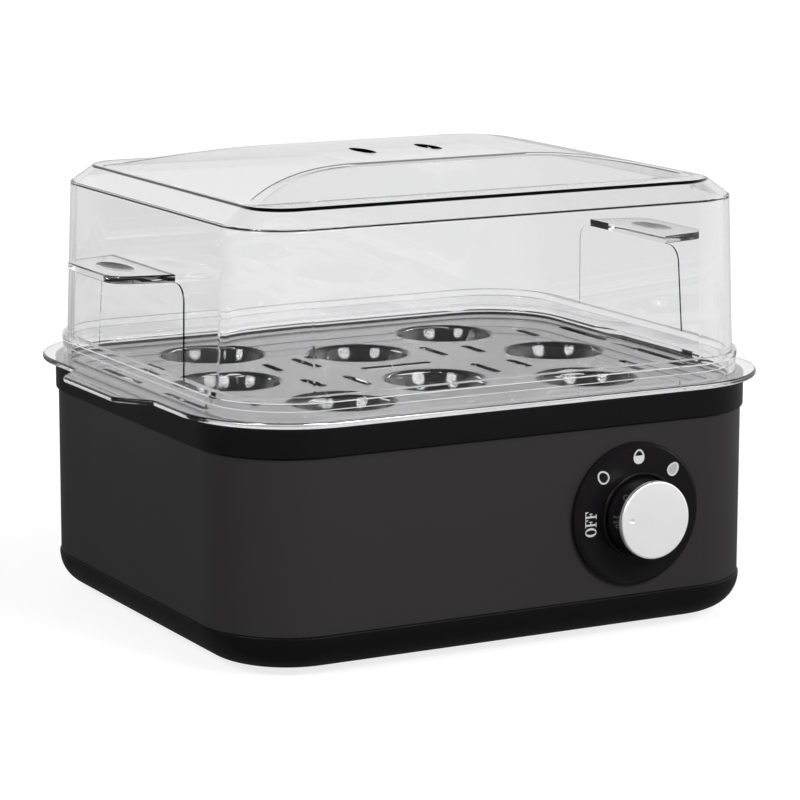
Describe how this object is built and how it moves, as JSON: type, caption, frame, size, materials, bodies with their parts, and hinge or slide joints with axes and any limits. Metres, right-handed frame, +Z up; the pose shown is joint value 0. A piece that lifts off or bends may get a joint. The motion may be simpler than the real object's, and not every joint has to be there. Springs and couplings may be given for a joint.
{
  "type": "electric egg cooker",
  "caption": "Box-shaped electric egg cooker: dark steel housing with a rotary switch, black heating pan, lift-out clear egg tray and lift-off clear lid with side ledges.",
  "frame": {"origin": "middle of the object's box on the surface it stands on", "axes": "+Z up, dial and knob on the side that faces -Y, width along X"},
  "size_m": [0.2418, 0.2, 0.1651],
  "materials": {
    "black_plastic": "satin moulded black plastic",
    "gloss_black": "glossy black plastic",
    "sleeve_steel": "dark grey finely grained steel",
    "clear_plastic": "clear polished plastic",
    "pan_coating": "glossy black non-stick coating",
    "knob_metal": "bright satin metal",
    "rubber": "matt black rubber",
    "silicone": "grey silicone",
    "steel": "plated steel",
    "heater_sheath": "dull stainless sheath",
    "brass": "plain brass",
    "ceramic": "white ceramic",
    "nylon": "natural nylon",
    "fuse_sleeve": "woven glass sleeve",
    "lead_brown": "brown insulation",
    "lead_blue": "blue insulation",
    "lead_black": "black insulation",
    "lead_green": "green insulation"
  },
  "bodies": {
    "housing": {"base_pan": "black_plastic", "top_frame": "black_plastic", "rubber_feet": "rubber", "base_screws": "steel", "housing_sleeve": "sleeve_steel", "pan_gasket": "silicone", "heating_pan": "pan_coating", "pan_screws": "steel", "heater_tube": "heater_sheath", "heater_caps": "ceramic", "heater_clips": "steel", "thermostat": "ceramic", "thermostat_bracket": "steel", "bracket_screws": "steel", "earth_screw": "brass", "thermal_fuse": "fuse_sleeve", "fuse_clip": "steel", "dial_bezel": "gloss_black", "switch_bracket": "steel", "bezel_screws": "steel", "switch_case": "nylon", "switch_cover": "nylon", "switch_contacts": "brass", "switch_nut": "steel", "terminal_block": "nylon", "terminal_screws": "brass", "block_screws": "steel", "cord_gland": "rubber", "live_lead": "lead_brown", "switched_lead": "lead_black", "fuse_lead": "lead_black", "heater_lead": "lead_black", "neutral_lead": "lead_blue", "earth_lead": "lead_green"},
    "knob": {"knob_body": "gloss_black", "knob_cap": "knob_metal", "knob_spring": "steel", "switch_shaft": "steel", "switch_cam": "nylon"},
    "tray": {"egg_tray": "clear_plastic"},
    "lid": {"lid": "clear_plastic"}
  },
  "joints": [
    {"name": "knob_turn", "type": "hinge", "parent": "housing", "child": "knob", "pos_m": [0.0459, -0.08568, 0.04469], "axis": [0, 1, 0], "range_deg": [0, 131]},
    {"name": "tray_lift", "type": "slide", "parent": "housing", "child": "tray", "axis": [0, 0, 1], "range_m": [0, 0.06]},
    {"name": "lid_lift", "type": "slide", "parent": "tray", "child": "lid", "axis": [0, 0, 1], "range_m": [0, 0.1]}
  ]
}
